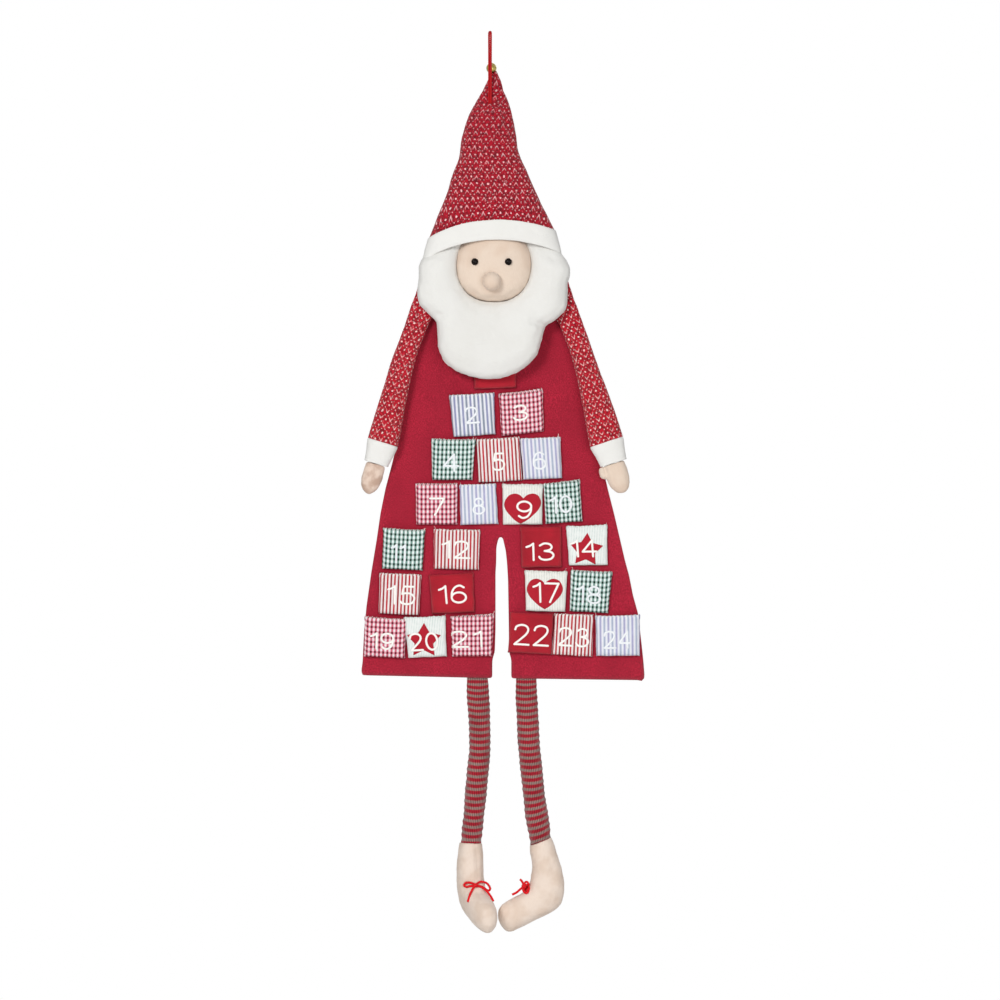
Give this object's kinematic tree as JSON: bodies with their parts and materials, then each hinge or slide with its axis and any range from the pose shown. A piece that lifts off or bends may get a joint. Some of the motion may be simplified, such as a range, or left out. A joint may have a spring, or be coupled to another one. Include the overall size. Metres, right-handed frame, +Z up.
{
  "type": "advent calendar",
  "caption": "Hanging cloth advent calendar: a bearded doll in a pointed hat whose felt body carries numbered day pockets, with stuffed arms and striped legs.",
  "frame": {"origin": "the top of the hanging cord's loop, where it rests on its hook", "axes": "+Z up, -Y towards the viewer, +Y towards the wall, +X to the viewer's right"},
  "size_m": [0.3978, 0.0885, 1.2603],
  "materials": {
    "cord_red": "twisted cotton cord",
    "bell_brass": "dulled",
    "print_red": "printed cotton, white marks on dark red",
    "white_cloth": "plain white cotton",
    "skin_cloth": "plain cotton, skin-coloured",
    "bead_black": "glossy black",
    "beard_white": "brushed white cotton",
    "felt_red": "dark red felt",
    "wadding_white": "polyester wadding",
    "plain_red": "plain red cotton",
    "blue_stripe": "blue and white stripes",
    "red_gingham": "red and white gingham",
    "green_gingham": "green and white gingham",
    "red_stripe": "red and white stripes",
    "cream_heart": "cream pinstripe with a red heart",
    "cream_star": "cream pinstripe with a red star",
    "stripe_knit": "ribbed knit, red and grey-green stripes"
  },
  "bodies": {
    "body": {"hanging_cord": "cord_red", "bell": "bell_brass", "bell_pellet": "bell_brass", "hat": "print_red", "hat_band": "white_cloth", "head": "skin_cloth", "left_eye": "bead_black", "right_eye": "bead_black", "nose": "skin_cloth", "beard": "beard_white", "body_back": "felt_red", "body_wadding": "wadding_white", "body_front": "felt_red", "pocket_01": "plain_red", "pocket_02": "blue_stripe", "pocket_03": "red_gingham", "pocket_04": "green_gingham", "pocket_05": "red_stripe", "pocket_06": "blue_stripe", "pocket_07": "red_gingham", "pocket_08": "blue_stripe", "pocket_09": "cream_heart", "pocket_10": "green_gingham", "pocket_11": "green_gingham", "pocket_12": "red_stripe", "pocket_13": "plain_red", "pocket_14": "cream_star", "pocket_15": "red_stripe", "pocket_16": "plain_red", "pocket_17": "cream_heart", "pocket_18": "green_gingham", "pocket_19": "red_gingham", "pocket_20": "cream_star", "pocket_21": "red_gingham", "pocket_22": "plain_red", "pocket_23": "red_stripe", "pocket_24": "blue_stripe"},
    "left_arm": {"left_sleeve": "print_red", "left_cuff": "white_cloth", "left_hand": "skin_cloth"},
    "left_leg": {"left_leg": "stripe_knit"},
    "left_foot": {"left_foot": "skin_cloth", "left_bow": "cord_red"},
    "right_arm": {"right_sleeve": "print_red", "right_cuff": "white_cloth", "right_hand": "skin_cloth"},
    "right_leg": {"right_leg": "stripe_knit"},
    "right_foot": {"right_foot": "skin_cloth", "right_bow": "cord_red"}
  },
  "joints": [
    {"name": "left_shoulder", "type": "hinge", "parent": "body", "child": "left_arm", "pos_m": [-0.08255, 0.0121, -0.3593], "axis": [0, 1, 0], "range_deg": [0, 75]},
    {"name": "right_shoulder", "type": "hinge", "parent": "body", "child": "right_arm", "pos_m": [0.09315, 0.0121, -0.3593], "axis": [0, -1, 0], "range_deg": [0, 75]},
    {"name": "left_hip", "type": "hinge", "parent": "body", "child": "left_leg", "pos_m": [-0.01775, 0.0185, -0.908], "axis": [-1, 0, 0], "range_deg": [0, 60]},
    {"name": "right_hip", "type": "hinge", "parent": "body", "child": "right_leg", "pos_m": [0.05075, 0.0185, -0.908], "axis": [-1, 0, 0], "range_deg": [0, 60]},
    {"name": "left_ankle", "type": "hinge", "parent": "left_leg", "child": "left_foot", "pos_m": [-0.02634, -0.014, -1.1343], "axis": [0, 0, -1], "range_deg": [0, 24]},
    {"name": "right_ankle", "type": "hinge", "parent": "right_leg", "child": "right_foot", "pos_m": [0.07064, -0.014, -1.1343], "axis": [0, 0, 1], "range_deg": [0, 90]}
  ]
}
